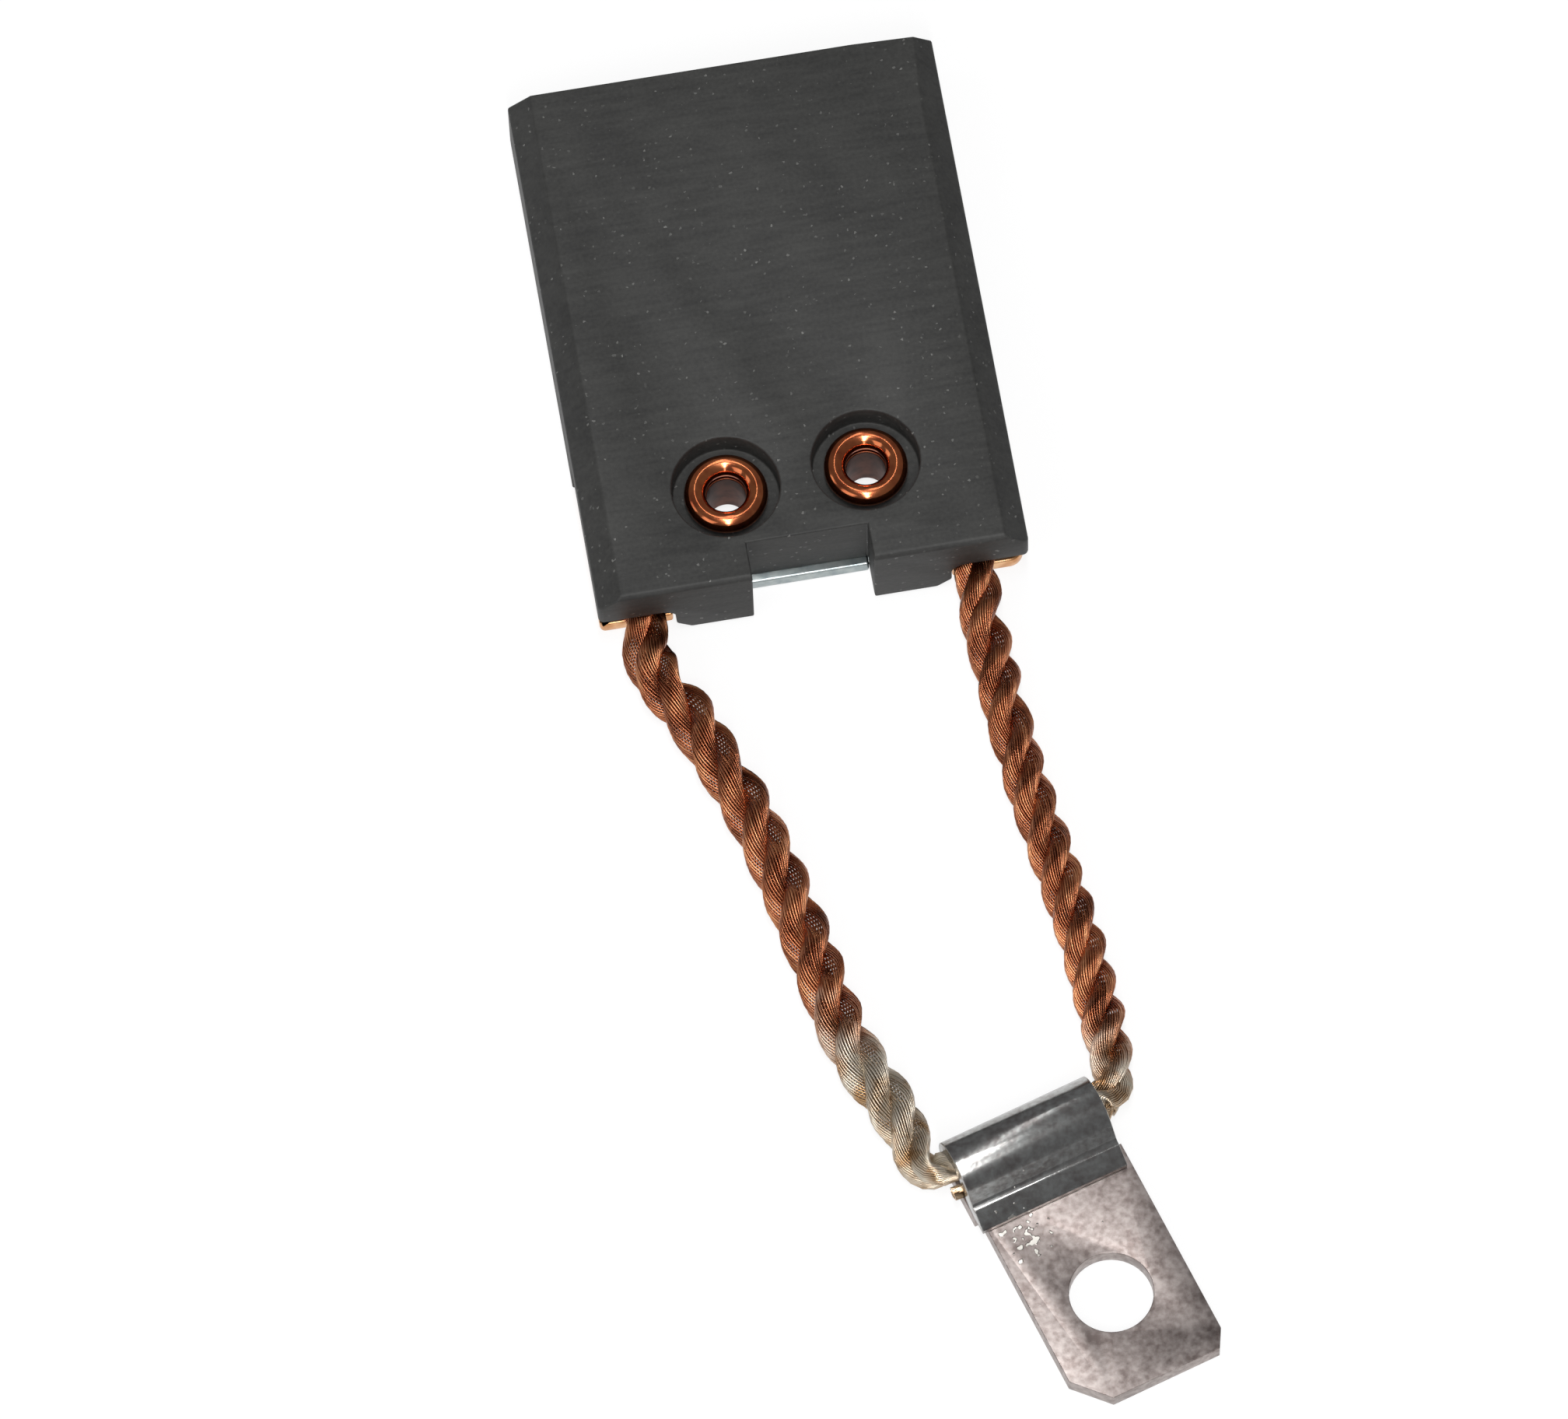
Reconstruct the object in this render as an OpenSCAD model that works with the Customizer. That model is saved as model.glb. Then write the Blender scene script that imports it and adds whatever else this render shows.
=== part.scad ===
// Carbon brush: a flat carbon block, a stamped backing plate riveted into its back,
// and two copper leads that run to one folded terminal.
// The block lies on its back. The origin is the middle of its underside, +Z is up,
// and +Y runs along the block to its wearing face.

/* [Carbon block] */
// Length of the block, from the lead end to the wearing face
block_l = 28.7; // [24:0.1:40]
// Width of the block
block_w = 22.0; // [20:0.1:26]
// Thickness of the block
block_t = 4.8; // [4.4:0.1:8]
// Width of the bevel along each long front edge
bevel_w = 1.2; // [0.4:0.1:2]
// Depth of that bevel
bevel_d = 1.0; // [0.4:0.1:1.6]
// Width of the notch in the lead end
notch_w = 6.2; // [5:0.1:8]
// Depth of the notch
notch_d = 2.0; // [1.6:0.1:2.4]
// Chamfer on the arrises of both ends
arris = 0.2; // [0.1:0.05:0.4]
// Radius of the two upright corners at the lead end
corner_r = 0.3; // [0.1:0.05:0.8]

/* [Worn front face] */
// Length that the worn corner takes from the wearing edge
worn_across = 3.0; // [1:0.1:4]
// Length that the worn corner takes from the side
worn_along = 3.9; // [1:0.1:6]
// Depth of wear at that corner
worn_depth = 0.2; // [0.1:0.05:0.8]

/* [Rivets] */
// Spacing of the two rivets across the block
rivet_pitch = 7.2; // [6.8:0.1:8]
// Distance of the left rivet from the lead end
rivet_in = 5.25; // [5:0.05:6]
// How much further in the right rivet sits
rivet_skew = 0.25; // [0:0.05:0.5]
// Diameter of the counterbore round each rivet head
counterbore_d = 5.5; // [5:0.1:6]
// Depth of the counterbore
counterbore_h = 1.45; // [1.2:0.05:1.8]
// Outside diameter of the rolled rivet head
head_d = 4.26; // [3.8:0.02:4.6]
// Thickness of the roll of that head
roll_d = 1.1; // [0.8:0.05:1.2]
// Outside diameter of the rivet's tube
shank_d = 2.8; // [2.6:0.05:3]
// Bore of the rivet's tube
rivet_bore_d = 2.0; // [1.6:0.05:2.2]
// Diameter of the rivet's flared back end
flare_d = 3.7; // [3.4:0.05:4.2]
// Depth of that flare
flare_h = 0.45; // [0.3:0.05:0.6]

/* [Backing plate] */
// Thickness of the plate
plate_t = 0.8; // [0.6:0.05:1]
// Distance from the lead end to the plate's inner edge
plate_in = 8.6; // [8.2:0.1:10]
// Gap between the plate and the slot round it
plate_gap = 0.1; // [0.05:0.05:0.2]
// How far the tongue stands into the notch
tongue_out = 0.44; // [0.2:0.02:1]
// Gap between the tongue and each wall of the notch
tongue_gap = 0.03; // [0.02:0.01:0.1]
// Distance from the lead end to the left ear's edge
ear_left_in = 0.55; // [0.1:0.05:1]
// Radius of the left ear's outer corner
ear_left_r = 0.3; // [0.1:0.05:1]
// Distance from the lead end to the right ear's edge
ear_right_in = 0.5; // [0.1:0.05:1]
// Radius of the right ear's outer corner
ear_right_r = 0.8; // [0.1:0.05:1]

/* [Lead seats] */
// Width of each open recess over the plate's ears
seat_w = 3.95; // [3.5:0.05:4.5]
// Height of the recess above the plate
seat_h = 1.5; // [1.3:0.05:1.8]
// Radius between the recess's ceiling and its inner wall
seat_r = 0.8; // [0.5:0.1:1.2]
// Width of the slope under the wall
seat_slope_w = 0.95; // [0.3:0.05:1.5]
// Height of that slope
seat_slope_h = 0.8; // [0.3:0.05:1]

/* [Leads] */
// Diameter of the left lead, which is twisted loosely
lead_left_d = 2.7; // [2:0.05:2.8]
// Diameter of the right lead
lead_right_d = 2.4; // [2:0.05:2.8]
// Width of the end that is pressed flat on an ear
flat_w = 2.3; // [2:0.05:2.6]
// How much nearer to the side the left lead lies than the right one
left_shift = 0.4; // [0:0.05:0.8]
// Gap between the flattened end and the carbon over it
lead_gap = 0.05; // [0.02:0.01:0.1]

/* [Terminal] */
// Width of the terminal's strip
strip_w = 8.0; // [7:0.1:9]
// Thickness of the strip
strip_t = 1.0; // [0.8:0.05:1.1]
// Diameter of the screw hole
hole_d = 4.2; // [3:0.1:5.2]
// Distance from the hole's centre to the tip of the tab
tip_out = 5.04; // [4.5:0.02:6]
// Width and length that the deep cut takes from one corner of the tip
deep_cut_w = 1.6; // [0.5:0.05:2.5]
deep_cut_l = 1.75; // [0.5:0.05:2.5]
// Width and length that the slight cut takes from the other corner
slight_cut_w = 0.55; // [0.1:0.05:1.5]
slight_cut_l = 0.95; // [0.1:0.05:1.5]
// Distance from the hole's centre to the middle of the loop
loop_in = 8.7; // [8.4:0.1:11]
// Inner radius of the loop
loop_r = 0.8; // [0.75:0.05:1]
// Steepness of the strip where it comes down to the tab, in degrees
fold_angle = 55; // [50:1:65]
// Radius where the strip turns flat again
foot_r = 0.4; // [0.2:0.05:0.6]
// Length of the lip that lies on the tab
lip_l = 0.9; // [0.4:0.05:1.2]
// Thickness that the lip thins down to at its end
lip_t = 0.35; // [0.2:0.05:0.8]
// Gap under the lip, where the strip springs back a little
lip_gap = 0.05; // [0.03:0.01:0.1]
// How far the loop is skewed to the left of the tab
loop_skew = 0.3; // [0:0.05:0.6]

/* [Where the terminal lies] */
// Place of the screw hole across the block
hole_x = 8.13; // [6:0.01:10]
// Distance of the screw hole from the lead end
hole_out = 39.56; // [36:0.02:42]
// Turn of the terminal, in degrees
terminal_turn = 16.6; // [10:0.1:20]

/* [Hidden] */
$fn = 64;

lead_end = -block_l / 2;
slot_in = plate_in + plate_gap;
half_plate = block_w / 2 - plate_gap;
seat_wall = block_w / 2 - seat_w;
seat_top = plate_t + seat_h;
head_floor = block_t - counterbore_h;
roll_x = (head_d - roll_d) / 2;
rivet_clear = 0.05;
flat_h = seat_h - 2 * lead_gap;
over = 1;

// ---- carbon block ----

// Section across the block, with both long front edges bevelled.
module block_section() {
    polygon([
        [-block_w / 2, 0],
        [block_w / 2, 0],
        [block_w / 2, block_t - bevel_d],
        [block_w / 2 - bevel_w, block_t],
        [-block_w / 2 + bevel_w, block_t],
        [-block_w / 2, block_t - bevel_d]
    ]);
}

// Side view of the block. The wearing end's front edge is sharp, the other arrises
// of both ends are broken.
module block_side() {
    polygon([
        [-block_l / 2 + arris, 0],
        [block_l / 2 - arris, 0],
        [block_l / 2, arris],
        [block_l / 2, block_t],
        [-block_l / 2 + arris, block_t],
        [-block_l / 2, block_t - arris],
        [-block_l / 2, arris]
    ]);
}

// Outline from above: two rounded corners and the notch at the lead end.
module block_plan() {
    difference() {
        union() {
            translate([-block_w / 2, -block_l / 2 + corner_r])
                square([block_w, block_l - corner_r]);
            translate([-block_w / 2 + corner_r, -block_l / 2])
                square([block_w - 2 * corner_r, block_l]);
            for (side = [-1, 1])
                translate([side * (block_w / 2 - corner_r), -block_l / 2 + corner_r])
                    circle(corner_r);
        }
        translate([-notch_w / 2, lead_end - over])
            square([notch_w, notch_d + over]);
    }
}

// Room for the plate's cross strip and, over its ears, for the leads.
module back_pocket() {
    translate([-block_w / 2 - over, lead_end + notch_d, -over])
        cube([block_w + 2 * over, slot_in - notch_d, plate_t + over]);
    for (side = [0, 1])
        mirror([side, 0, 0])
            translate([0, lead_end + slot_in, 0])
                rotate([90, 0, 0])
                    linear_extrude(slot_in + over) seat_section();
}

// Section of one lead recess: open at the side, round where ceiling meets wall, and
// sloped where the wall runs out to the back face.
module seat_section() {
    polygon([
        [seat_wall - seat_slope_w, -over],
        [seat_wall - seat_slope_w, 0],
        [seat_wall, seat_slope_h],
        [seat_wall, seat_top - seat_r],
        [block_w / 2 + over, seat_top - seat_r],
        [block_w / 2 + over, -over]
    ]);
    translate([seat_wall + seat_r, 0])
        square([seat_w - seat_r + over, seat_top]);
    translate([seat_wall + seat_r, seat_top - seat_r])
        circle(seat_r);
}

// Stepped hole for one rivet: a counterbore for its head and a hole for its tube.
module rivet_hole() {
    translate([0, 0, head_floor])
        cylinder(d = counterbore_d, h = counterbore_h + over);
    translate([0, 0, -over])
        cylinder(d = shank_d + 2 * rivet_clear, h = block_t + over);
}

// Wedge worn off the front face's far right corner.
module worn_corner() {
    run = atan2(worn_along, worn_across);
    lean = atan(worn_depth / (worn_along * cos(run)));
    span = worn_across + worn_along;
    translate([block_w / 2 - bevel_w, block_l / 2 - worn_along, block_t])
        rotate([0, 0, 180 - run])
            rotate([lean, 0, 0])
                translate([-span, -span, 0])
                    cube([3 * span, span, block_t]);
}

module carbon_block() {
    color([0.23, 0.23, 0.22])
        difference() {
            intersection() {
                rotate([90, 0, 0])
                    linear_extrude(block_l, center = true) block_section();
                rotate([90, 0, 90])
                    linear_extrude(block_w, center = true) block_side();
                linear_extrude(block_t) block_plan();
            }
            back_pocket();
            at_left_rivet() rivet_hole();
            at_right_rivet() rivet_hole();
            worn_corner();
        }
}

// ---- rivets ----

module at_left_rivet() {
    translate([-rivet_pitch / 2, lead_end + rivet_in, 0])
        children();
}

module at_right_rivet() {
    translate([rivet_pitch / 2, lead_end + rivet_in + rivet_skew, 0])
        children();
}

// Tubular rivet: a rolled head on the counterbore's floor, a tube, and a back end
// that is flared into the plate's countersink.
module rivet() {
    rotate_extrude() {
        translate([roll_x, head_floor + roll_d / 2])
            circle(d = roll_d, $fn = 48);
        polygon([
            [rivet_bore_d / 2, flare_h],
            [flare_d / 2 - (shank_d - rivet_bore_d) / 2, 0],
            [flare_d / 2, 0],
            [shank_d / 2, flare_h],
            [shank_d / 2, head_floor + roll_d / 2],
            [rivet_bore_d / 2, head_floor + roll_d / 2]
        ]);
    }
}

module rivet_left() {
    color([0.75, 0.42, 0.24])
        at_left_rivet() rivet();
}

module rivet_right() {
    color([0.75, 0.42, 0.24])
        at_right_rivet() rivet();
}

// ---- backing plate ----

// One ear at the plate's lead end, with its outer corner rounded.
module ear(setback, r) {
    inner = seat_wall + plate_gap;
    low = lead_end + setback;
    high = lead_end + notch_d + 2 * plate_gap;
    translate([inner, low])
        square([half_plate - r - inner, high - low]);
    translate([inner, low + r])
        square([half_plate - inner, high - low - r]);
    translate([half_plate - r, low + r])
        circle(r);
}

module plate_plan() {
    translate([-half_plate, lead_end + notch_d + plate_gap])
        square([2 * half_plate, plate_in - notch_d - plate_gap]);
    translate([-notch_w / 2 + tongue_gap, lead_end + notch_d - tongue_out])
        square([notch_w - 2 * tongue_gap, tongue_out + 2 * plate_gap]);
    ear(ear_right_in, ear_right_r);
    mirror([1, 0])
        ear(ear_left_in, ear_left_r);
}

// Countersunk hole that one rivet's back end is flared into.
module plate_hole() {
    translate([0, 0, -over])
        cylinder(d = shank_d + 2 * rivet_clear, h = plate_t + 2 * over);
    translate([0, 0, -over])
        cylinder(
            r1 = flare_d / 2 + rivet_clear + over * flare_slope(),
            r2 = shank_d / 2 + rivet_clear,
            h = flare_h + over
        );
}

function flare_slope() = (flare_d - shank_d) / 2 / flare_h;

module backing_plate() {
    color([0.66, 0.64, 0.6])
        difference() {
            linear_extrude(plate_t) plate_plan();
            at_left_rivet() plate_hole();
            at_right_rivet() plate_hole();
        }
}

// ---- terminal ----

hole_y = lead_end - hole_out;
loop_out = loop_r + strip_t;
// Where the sloping strip meets the foot bend, and where the lip starts.
slope_top = [
    loop_in - loop_out * sin(fold_angle),
    loop_out + loop_out * cos(fold_angle)
];
foot_z = 2 * strip_t + lip_gap + foot_r;
slope_low_z = foot_z - foot_r * cos(fold_angle);
slope_l = (slope_top.y - slope_low_z) / sin(fold_angle);
slope_low = slope_top - slope_l * [cos(fold_angle), sin(fold_angle)];
foot_y = slope_low.x - foot_r * sin(fold_angle);

module at_terminal() {
    translate([hole_x, hole_y, 0])
        rotate(terminal_turn)
            children();
}

// The flat tab: one deep and one slight cut corner at its tip, and the screw hole.
module tab_plan() {
    half = strip_w / 2;
    difference() {
        polygon([
            [-half, -tip_out + deep_cut_l],
            [-half + deep_cut_w, -tip_out],
            [half - slight_cut_w, -tip_out],
            [half, -tip_out + slight_cut_l],
            [half, foot_y + foot_r],
            [-half, foot_y + foot_r]
        ]);
        circle(d = hole_d);
    }
}

// Points along an arc, from one angle to another.
function arc(centre, r, from, to, steps) = [
    for (i = [0 : steps])
        let(a = from + (to - from) * i / steps)
        centre + r * [cos(a), sin(a)]
];

// The folded strip seen from its edge: base, round loop, slope, foot and lip, then
// back along its inner side.
module loop_section() {
    loop_c = [loop_in, loop_out];
    foot_c = [foot_y, foot_z];
    lip_y = foot_y - lip_l;
    polygon(concat(
        [[foot_y, strip_t], [foot_y, 0]],
        arc(loop_c, loop_out, -90, 90 + fold_angle, 36),
        arc(foot_c, foot_r, 270 + fold_angle, 270, 10),
        [[lip_y, strip_t + lip_gap + lip_t], [lip_y, strip_t + lip_gap]],
        arc(foot_c, foot_r + strip_t, 270, 270 + fold_angle, 10),
        arc(loop_c, loop_r, 90 + fold_angle, -90, 36)
    ));
}

module terminal() {
    color([0.62, 0.58, 0.56])
        at_terminal() {
            linear_extrude(strip_t) tab_plan();
            translate([-strip_w / 2 - loop_skew, 0, 0])
                rotate([90, 0, 90])
                    linear_extrude(strip_w) loop_section();
        }
}

// ---- leads ----

// The right lead lies against its recess's wall, the left one a little further out.
right_x = seat_wall + plate_gap + flat_w / 2;
left_x = -right_x - left_shift;

// A place beside or inside the terminal, as [across, along] from its screw hole.
function at_loop(across, along) = [
    hole_x + across * cos(terminal_turn) - along * sin(terminal_turn),
    hole_y + across * sin(terminal_turn) + along * cos(terminal_turn)
];

// Each point of a lead is [x, y, z, width, height] and, where the terminal grips it,
// its direction. A lead is round where it lies free, flat in its seat on the plate and
// squeezed inside the terminal.
function free(x, y, d) = [x, lead_end + y, d / 2 + 0.02, d, d];
function seated(x, y) = [x, lead_end + y, plate_t + flat_h / 2, flat_w, flat_h];
function beside(across, along, z, w, h) = concat(at_loop(across, along), [z, w, h]);
function gripped(across, along, z, w, h, way) = concat(
    beside(across, along, z, w, h),
    [way * [cos(terminal_turn), sin(terminal_turn)]]
);

loop_left = -strip_w / 2 - loop_skew;
loop_right = strip_w / 2 - loop_skew;
far_along = loop_in + 0.2;
near_along = loop_in - 0.7;

left_route = [
    seated(left_x, 8.3),
    seated(left_x, 4),
    seated(left_x, 0.25),
    [left_x - 0.05, lead_end - 0.9, 1.25, 2.5, 2.1],
    free(-8.75, -2.2, lead_left_d),
    free(-8.3, -3.5, lead_left_d),
    free(-7.55, -4.8, lead_left_d),
    free(-6.65, -7.1, lead_left_d),
    free(-5.55, -9.9, lead_left_d),
    free(-4.8, -12.6, lead_left_d),
    free(-4.2, -15, lead_left_d),
    free(-3.6, -18, lead_left_d),
    free(-3.15, -20.6, lead_left_d),
    free(-2.65, -23.3, lead_left_d),
    free(-1.8, -26, lead_left_d),
    free(-0.8, -28.3, lead_left_d),
    free(-0.3, -30, 2.3),
    beside(loop_left - 1.15, loop_in + 1.9, 1.15, 2.2, 2.15),
    beside(loop_left - 0.95, loop_in + 1, 1.3, 2, 2.2),
    gripped(loop_left - 0.12, loop_in + 0.55, 1.45, 1.7, 2.4, 1),
    gripped(loop_left - 0.04, far_along, 1.8, 1, 1.3, 1),
    gripped(0, far_along, 1.8, 1, 1.3, 1),
    gripped(loop_right - 0.4, far_along, 1.8, 1, 1.3, 1)
];

right_route = [
    seated(right_x, 8.3),
    seated(right_x, 4),
    seated(right_x, 0.25),
    [right_x - 0.03, lead_end - 0.9, 1.25, 2.3, 2.1],
    free(8.2, -2.4, lead_right_d),
    free(8.3, -5, lead_right_d),
    free(8.5, -8.5, lead_right_d),
    free(8.75, -11.5, lead_right_d),
    free(9.15, -14.5, lead_right_d),
    free(9.55, -17.5, lead_right_d),
    free(9.95, -20.5, lead_right_d),
    free(10.15, -23.5, lead_right_d),
    free(10.3, -26, lead_right_d),
    free(10.3, -27.6, 2.2),
    beside(loop_right + 1.5, loop_in + 1.4, 1.15, 2.1, 2.1),
    beside(loop_right + 1.05, loop_in + 0.75, 1.25, 2, 2.2),
    gripped(loop_right + 0.15, loop_in + 0.5, 1.4, 2, 2.3, -1),
    gripped(loop_right + 0.05, near_along, 1.42, 0.76, 0.8, -1),
    gripped(0, near_along, 1.42, 0.76, 0.8, -1),
    gripped(loop_left - 0.45, near_along, 1.42, 0.76, 0.8, -1)
];

sides = 8;

// Direction of a lead in plan at one of its points.
function heading(route, i) =
    let(
        before = route[max(i - 1, 0)],
        after = route[min(i + 1, len(route) - 1)],
        step = [after.x - before.x, after.y - before.y]
    )
    len(route[i]) > 5 ? route[i][5] : step / norm(step);

// One upright eight-sided ring round a point of the route, flat at its underside.
function ring(route, i) =
    let(p = route[i], way = heading(route, i))
    [for (k = [0 : sides - 1])
        let(
            a = 360 * (k + 0.5) / sides,
            out = p[3] / 2 * cos(a) / cos(180 / sides),
            up = p[4] / 2 * sin(a) / cos(180 / sides)
        )
        [p.x + way.y * out, p.y - way.x * out, p.z + up]
    ];

// A plain tube swept along a route.
module lead(route) {
    count = len(route);
    points = [for (i = [0 : count - 1]) each ring(route, i)];
    walls = [
        for (i = [0 : count - 2], k = [0 : sides - 1])
            let(
                a = i * sides + k,
                b = i * sides + (k + 1) % sides,
                c = a + sides,
                d = b + sides
            )
            each [[a, b, d], [a, d, c]]
    ];
    first = [for (k = [0 : sides - 1]) sides - 1 - k];
    last = [for (k = [0 : sides - 1]) (count - 1) * sides + k];
    polyhedron(points, concat([first], walls, [last]));
}

module lead_left() {
    color([0.7, 0.42, 0.26])
        lead(left_route);
}

module lead_right() {
    color([0.7, 0.42, 0.26])
        lead(right_route);
}

carbon_block();
backing_plate();
rivet_left();
rivet_right();
lead_left();
lead_right();
terminal();
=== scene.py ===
"""A carbon brush, lying on its back: a graphite block with two copper rivets, a tinned
backing plate, two twisted copper leads and one folded terminal. Metres, +Z up."""
import math

import bmesh
import bpy
import numpy as np
from mathutils import Matrix, Vector


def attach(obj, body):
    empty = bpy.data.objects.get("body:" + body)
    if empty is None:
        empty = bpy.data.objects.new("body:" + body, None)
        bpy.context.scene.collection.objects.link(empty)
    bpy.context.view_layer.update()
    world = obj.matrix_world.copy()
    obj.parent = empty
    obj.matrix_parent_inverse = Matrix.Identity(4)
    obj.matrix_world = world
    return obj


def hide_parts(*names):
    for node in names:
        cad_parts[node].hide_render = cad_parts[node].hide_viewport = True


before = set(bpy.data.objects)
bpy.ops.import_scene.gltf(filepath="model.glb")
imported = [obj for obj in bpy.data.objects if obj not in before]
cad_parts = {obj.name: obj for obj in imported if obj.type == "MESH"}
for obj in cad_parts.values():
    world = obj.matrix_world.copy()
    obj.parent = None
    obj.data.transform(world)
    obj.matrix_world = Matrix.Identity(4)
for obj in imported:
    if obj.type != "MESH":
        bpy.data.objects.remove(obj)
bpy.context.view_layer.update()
MM = 0.001

# ---- Camera ----
# A long lens looks down on the brush from the lead end, a little from the left, and is
# turned slightly clockwise.

look_at = Vector((-2.48, -19.62, 0)) * MM
view_azimuth = math.radians(-7.43)
view_elevation = math.radians(66.1)
view_roll = math.radians(-2.39)
view_distance = 700 * MM

view_direction = Vector((
    -math.sin(view_azimuth) * math.cos(view_elevation),
    math.cos(view_azimuth) * math.cos(view_elevation),
    -math.sin(view_elevation),
))
camera_data = bpy.data.cameras.new("camera")
camera_data.lens = 318.75
camera_data.sensor_width = 36
camera = bpy.data.objects.new("camera", camera_data)
level = view_direction.to_track_quat("-Z", "Y").to_matrix()
turned = level @ Matrix.Rotation(view_roll, 3, "Z")
camera.matrix_world = Matrix.Translation(look_at - view_direction * view_distance) @ turned.to_4x4()
bpy.context.scene.collection.objects.link(camera)
bpy.context.scene.camera = camera
bpy.context.scene.view_settings.view_transform = "Standard"

# ---- Carbon block ----
# Electrographite, pressed, baked and ground flat, with a notch and two recesses for the
# leads in one end. The other end runs on the machine's ring and wears away.

block_l = 28.7
lead_end = -block_l / 2


def linear(code):
    """An sRGB hex colour as linear RGBA."""
    parts = [int(code[i:i + 2], 16) / 255 for i in (1, 3, 5)]
    return (*[c / 12.92 if c < 0.04045 else ((c + 0.055) / 1.055) ** 2.4 for c in parts], 1)


def node(tree, kind, *wires, **settings):
    """Adds a node with its settings. A wire is an input and its value, node or socket."""
    made = tree.nodes.new(kind)
    for name, value in settings.items():
        setattr(made, name, value)
    for name, value in wires:
        if isinstance(value, bpy.types.Node):
            value = value.outputs[0]
        if isinstance(value, bpy.types.NodeSocket):
            tree.links.new(value, made.inputs[name])
        else:
            made.inputs[name].default_value = value
    return made


def bare_material(name):
    """An empty node material, its tree and the object coordinates that it reads."""
    material = bpy.data.materials.new(name)
    material.use_nodes = True
    tree = material.node_tree
    tree.nodes.clear()
    return material, tree, node(tree, "ShaderNodeTexCoord").outputs["Object"]


def blend(tree, share, *stops):
    """A colour ramp between sRGB colours, each at its place from 0 to 1."""
    ramp = node(tree, "ShaderNodeValToRGB", ("Fac", share))
    for at, code in stops[2:]:
        ramp.color_ramp.elements.new(at)
    for element, (at, code) in zip(ramp.color_ramp.elements, sorted(stops)):
        element.position = at
        element.color = linear(code)
    return ramp.outputs["Color"]


def put(name, data):
    made = bpy.data.objects.new(name, data)
    bpy.context.scene.collection.objects.link(made)
    return made


def merged_copy(name):
    """A CAD node's shape as one closed mesh with its flat faces whole."""
    shape = bmesh.new()
    shape.from_mesh(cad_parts[name].data)
    bmesh.ops.remove_doubles(shape, verts=shape.verts, dist=0.0005 * MM)
    bmesh.ops.dissolve_limit(shape, angle_limit=math.radians(0.5),
                             verts=shape.verts, edges=shape.edges)
    mesh = bpy.data.meshes.new(name)
    shape.to_mesh(mesh)
    shape.free()
    mesh.materials.clear()
    return mesh


def dress(name, cad_node, material, edge, segments):
    """A CAD node's copy with edges rounded to edge mm, standing in for that node."""
    piece = put(name, merged_copy(cad_node))
    piece.data.materials.append(material)
    for face in piece.data.polygons:
        face.use_smooth = True
    soften = piece.modifiers.new("soften", "BEVEL")
    soften.width = edge * MM
    soften.segments = segments
    soften.limit_method = "ANGLE"
    soften.angle_limit = math.radians(28)
    soften.harden_normals = True
    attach(piece, "root")
    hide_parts(cad_node)
    return piece


def electrographite():
    """Ground graphite: dull and near black, with fine grain. A few smooth grains carry a painted
    glint, and the front face a painted sheen.
    """
    material, tree, coords = bare_material("ground electrographite")
    # The grain is drawn 0.2 mm across, and the clouds 3 mm.
    grain = node(tree, "ShaderNodeTexNoise", ("Vector", coords), ("Scale", 5000), ("Detail", 4))
    cloud = node(tree, "ShaderNodeTexNoise", ("Vector", coords), ("Scale", 330), ("Detail", 3))
    # Grinding marks run across the block, 0.4 mm apart and 3 mm long.
    drawn_out = node(tree, "ShaderNodeMapping", ("Vector", coords), ("Scale", (330, 2500, 2500)))
    marks = node(tree, "ShaderNodeTexNoise", ("Vector", drawn_out), ("Scale", 1), ("Detail", 3))
    tone = node(tree, "ShaderNodeMath", (0, grain), (1, cloud), operation="ADD")
    tone = node(tree, "ShaderNodeMath", (0, tone), (1, marks), operation="ADD")
    share = node(tree, "ShaderNodeMapRange", ("Value", tone), ("From Min", 1.1), ("From Max", 1.9))
    body = blend(tree, share, (0, "#282827"), (1, "#3D3D3B"))
    # Painted sheen: the front face, which faces up, is coloured lighter than the bevels and the ends.
    normal = node(tree, "ShaderNodeTexCoord").outputs["Normal"]
    height = node(tree, "ShaderNodeSeparateXYZ", ("Vector", normal)).outputs["Z"]
    painted_top_sheen = node(tree, "ShaderNodeMapRange", ("Value", height), ("From Min", 0.8),
                  ("From Max", 0.98), ("To Min", 0.8), ("To Max", 1))
    body = node(tree, "ShaderNodeVectorMath", (0, body), ("Scale", painted_top_sheen), operation="SCALE")
    # A few grains lie flat and are smoother; their lighter colour is a painted glint.
    grains = node(tree, "ShaderNodeTexVoronoi", ("Vector", coords), ("Scale", 9000))
    flat_grain_painted_glint = node(tree, "ShaderNodeMapRange", ("Value", grains.outputs["Color"]),
                 ("From Min", 0.9), ("From Max", 0.97))
    colour = node(tree, "ShaderNodeMix", ("Factor", flat_grain_painted_glint), (6, body),
                  (7, linear("#6E6E6B")), data_type="RGBA")
    bump = node(tree, "ShaderNodeBump", ("Height", tone), ("Strength", 0.6),
                ("Distance", 0.015 * MM))
    rough = node(tree, "ShaderNodeMapRange", ("Value", flat_grain_painted_glint), ("To Min", 0.6), ("To Max", 0.4))
    shader = node(tree, "ShaderNodeBsdfPrincipled", ("Base Color", colour.outputs[2]),
                  ("Roughness", rough), ("Normal", bump))
    node(tree, "ShaderNodeOutputMaterial", ("Surface", shader))
    return material


dress("block", "carbon_block", electrographite(), edge=0.1, segments=3)

# ---- Backing plate ----
# Brass strip, tinned over its middle and bare golden metal over the last 4 mm at each
# end. It is let into the block's back and carries the leads on its ears.

half_block = 11


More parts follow.
